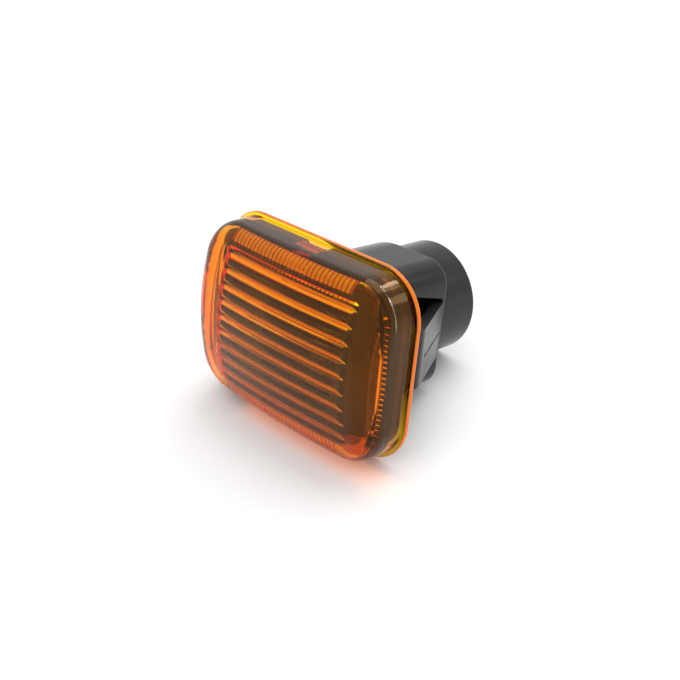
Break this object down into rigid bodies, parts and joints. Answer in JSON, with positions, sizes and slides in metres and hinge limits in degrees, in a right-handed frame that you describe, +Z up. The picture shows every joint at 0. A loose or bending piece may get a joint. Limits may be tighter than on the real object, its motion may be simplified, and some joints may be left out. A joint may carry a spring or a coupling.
{
  "type": "side repeater lamp",
  "caption": "Oblong amber side repeater lamp for a car's wing: fluted lens welded to a black housing with a sprung leg, a hook and a round rear shroud over a twist-in bulb holder.",
  "frame": {"origin": "centre of the seat plane, where the lens rim meets the car's panel", "axes": "+X to the side with the sprung leg, +Y into the car along the bulb, +Z up; the lens faces -Y"},
  "size_m": [0.066, 0.0594, 0.049],
  "materials": {
    "amber_lens": "clear amber acrylic, polished",
    "black_housing": "satin black moulded plastic",
    "holder_plastic": "satin dark grey moulded plastic",
    "seal_rubber": "matt black rubber",
    "terminal_brass": "stamped brass strip",
    "bulb_glass": "clear glass",
    "filament_wire": "drawn tungsten",
    "lead_wire": "plated wire"
  },
  "bodies": {
    "lamp": {"lens": "amber_lens", "housing": "black_housing"},
    "holder": {"bulb_holder": "holder_plastic", "holder_seal": "seal_rubber", "terminal_left": "terminal_brass", "terminal_right": "terminal_brass", "bulb_glass": "bulb_glass", "filament": "filament_wire", "lead_wire_upper": "lead_wire", "lead_wire_lower": "lead_wire"}
  },
  "joints": [
    {"name": "holder_twist", "type": "hinge", "parent": "lamp", "child": "holder", "pos_m": [0, 0.028, 0], "axis": [0, 1, 0], "range_deg": [0, 45]}
  ]
}
